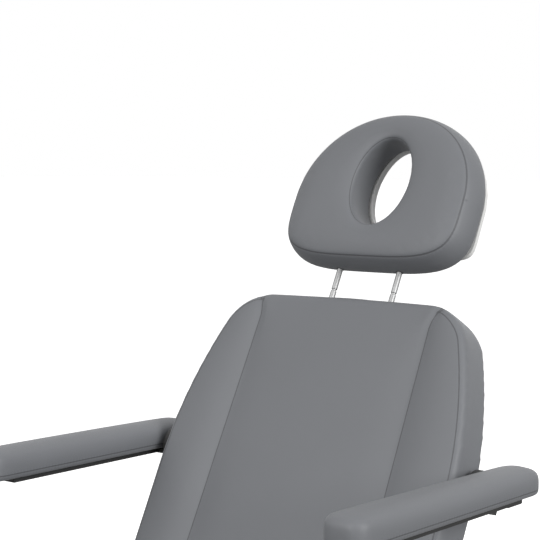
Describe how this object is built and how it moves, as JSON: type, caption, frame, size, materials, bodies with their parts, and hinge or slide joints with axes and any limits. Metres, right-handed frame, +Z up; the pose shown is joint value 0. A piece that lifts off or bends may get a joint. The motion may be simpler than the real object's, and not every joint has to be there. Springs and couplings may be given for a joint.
{
  "type": "podiatry chair",
  "caption": "Electric podiatry chair with grey padded back, sliding headrest with face hole, flip-up arms, split sliding leg rests and a telescopic lifting column.",
  "frame": {"origin": "on the floor under the middle of the part's bounding box", "axes": "+Z up; the sitter faces -Y; the sitter's left is +X"},
  "size_m": [0.802, 1.4052, 1.4166],
  "materials": {
    "leatherette": "satin",
    "white_plastic": "satin",
    "white_paint": "satin",
    "dark_paint": "satin",
    "dark_aluminium": "satin",
    "black_plastic": "satin",
    "black_paint": "satin",
    "chrome": "polished",
    "zinc_steel": "satin",
    "rubber": "matte"
  },
  "bodies": {
    "base": {"base_plate": "dark_paint", "foot_front_left": "rubber", "foot_front_right": "rubber", "foot_rear_left": "rubber", "foot_rear_right": "rubber", "base_cover": "white_plastic", "column_outer": "white_paint", "column_collar_lower": "black_plastic", "lift_motor": "dark_paint", "lift_spindle": "zinc_steel", "power_inlet": "black_plastic"},
    "column_middle": {"column_mid": "white_paint", "column_collar_upper": "black_plastic"},
    "seat": {"column_top": "white_paint", "lift_push_tube": "zinc_steel", "head_plate": "white_paint", "cross_beam_front": "dark_paint", "cross_beam_rear": "dark_paint", "front_cross_tube": "dark_paint", "seat_rail_left": "dark_paint", "seat_rail_right": "dark_paint", "side_plate_left": "white_paint", "side_plate_right": "white_paint", "seat_board": "white_plastic", "seat_pad": "leatherette", "back_axle": "zinc_steel", "leg_shaft": "zinc_steel"},
    "back": {"back_upright_left": "dark_paint", "back_upright_right": "dark_paint", "back_cross_tube": "dark_paint", "back_shell": "white_plastic", "back_pad": "leatherette", "headrest_guide_left": "black_plastic", "headrest_guide_right": "black_plastic", "arm_mount_left": "black_paint", "arm_mount_right": "black_paint", "arm_pin_left": "zinc_steel", "arm_pin_right": "zinc_steel"},
    "headrest": {"headrest_pad": "leatherette", "headrest_plate": "white_plastic", "headrest_post_left": "chrome", "headrest_post_right": "chrome"},
    "actuator": {"back_actuator_body": "black_plastic"},
    "actuator_rod": {"back_rod": "chrome"},
    "arm_left": {"arm_bracket_left": "black_plastic", "arm_pad_left": "leatherette"},
    "leg_left": {"leg_arm_left": "dark_aluminium"},
    "leg_carriage_left": {"leg_board_left": "white_plastic", "leg_pad_left": "leatherette"},
    "leg_knob_left": {"leg_knob_left": "black_plastic"},
    "gas_cylinder_left": {"gas_cylinder_left": "black_paint"},
    "gas_rod_left": {"gas_rod_left": "chrome"},
    "arm_right": {"arm_bracket_right": "black_plastic", "arm_pad_right": "leatherette"},
    "leg_right": {"leg_arm_right": "dark_aluminium"},
    "leg_carriage_right": {"leg_board_right": "white_plastic", "leg_pad_right": "leatherette"},
    "leg_knob_right": {"leg_knob_right": "black_plastic"},
    "gas_cylinder_right": {"gas_cylinder_right": "black_paint"},
    "gas_rod_right": {"gas_rod_right": "chrome"}
  },
  "joints": [
    {"name": "lift_lower", "type": "slide", "parent": "base", "child": "column_middle", "axis": [0, 0, 1], "range_m": [0, 0.12]},
    {"name": "lift_upper", "type": "slide", "parent": "column_middle", "child": "seat", "axis": [0, 0, 1], "range_m": [0, 0.12]},
    {"name": "back_recline", "type": "hinge", "parent": "seat", "child": "back", "pos_m": [0, 0.29, 0.5], "axis": [-1, 0, 0], "range_deg": [-7.24, 62.76]},
    {"name": "actuator_swing", "type": "hinge", "parent": "seat", "child": "actuator", "pos_m": [0.125, -0.2, 0.305], "axis": [1, 0, 0], "range_deg": [-0.6, 4]},
    {"name": "actuator_stroke", "type": "slide", "parent": "actuator", "child": "actuator_rod", "axis": [0, 0.97, 0.2432], "range_m": [-0.068, 0.009]},
    {"name": "headrest_height", "type": "slide", "parent": "back", "child": "headrest", "axis": [0, 0.4577, 0.8891], "range_m": [-0.062, 0.08]},
    {"name": "arm_fold_left", "type": "hinge", "parent": "back", "child": "arm_left", "pos_m": [0.315, 0.4, 0.825], "axis": [-1, 0, 0], "range_deg": [-62.76, 80]},
    {"name": "leg_lift_left", "type": "hinge", "parent": "seat", "child": "leg_left", "pos_m": [0.135, -0.276, 0.475], "axis": [-1, 0, 0], "range_deg": [-10, 50]},
    {"name": "leg_extension_left", "type": "slide", "parent": "leg_left", "child": "leg_carriage_left", "axis": [0, -0.8192, -0.5736], "range_m": [0, 0.12]},
    {"name": "leg_knob_turn_left", "type": "hinge", "parent": "leg_carriage_left", "child": "leg_knob_left", "pos_m": [0.2278, -0.52519, 0.30784], "axis": [1, 0, 0], "range_deg": [-180, 180]},
    {"name": "gas_swing_left", "type": "hinge", "parent": "seat", "child": "gas_cylinder_left", "pos_m": [0.195, -0.055, 0.358], "axis": [1, 0, 0], "range_deg": [-16.5, 4]},
    {"name": "gas_stroke_left", "type": "slide", "parent": "gas_cylinder_left", "child": "gas_rod_left", "axis": [0, -0.9989, 0.0473], "range_m": [-0.016, 0.073]},
    {"name": "arm_fold_right", "type": "hinge", "parent": "back", "child": "arm_right", "pos_m": [-0.315, 0.4, 0.825], "axis": [-1, 0, 0], "range_deg": [-62.76, 80]},
    {"name": "leg_lift_right", "type": "hinge", "parent": "seat", "child": "leg_right", "pos_m": [-0.135, -0.276, 0.475], "axis": [-1, 0, 0], "range_deg": [-10, 50]},
    {"name": "leg_extension_right", "type": "slide", "parent": "leg_right", "child": "leg_carriage_right", "axis": [0, -0.8192, -0.5736], "range_m": [0, 0.12]},
    {"name": "leg_knob_turn_right", "type": "hinge", "parent": "leg_carriage_right", "child": "leg_knob_right", "pos_m": [-0.2278, -0.52519, 0.30784], "axis": [-1, 0, 0], "range_deg": [-180, 180]},
    {"name": "gas_swing_right", "type": "hinge", "parent": "seat", "child": "gas_cylinder_right", "pos_m": [-0.195, -0.055, 0.358], "axis": [1, 0, 0], "range_deg": [-16.5, 4]},
    {"name": "gas_stroke_right", "type": "slide", "parent": "gas_cylinder_right", "child": "gas_rod_right", "axis": [0, -0.9989, 0.0473], "range_m": [-0.016, 0.073]}
  ],
  "couplings": [
    {"joint": "lift_upper", "follows": "lift_lower", "ratio": 1},
    {"joint": "actuator_swing", "follows": "back_recline", "ratio": 0.061},
    {"joint": "actuator_stroke", "follows": "back_recline", "m_per_rad": -0.06},
    {"joint": "gas_swing_left", "follows": "leg_lift_left", "ratio": -0.31},
    {"joint": "gas_stroke_left", "follows": "leg_lift_left", "m_per_rad": 0.082},
    {"joint": "gas_swing_right", "follows": "leg_lift_right", "ratio": -0.31},
    {"joint": "gas_stroke_right", "follows": "leg_lift_right", "m_per_rad": 0.082}
  ]
}
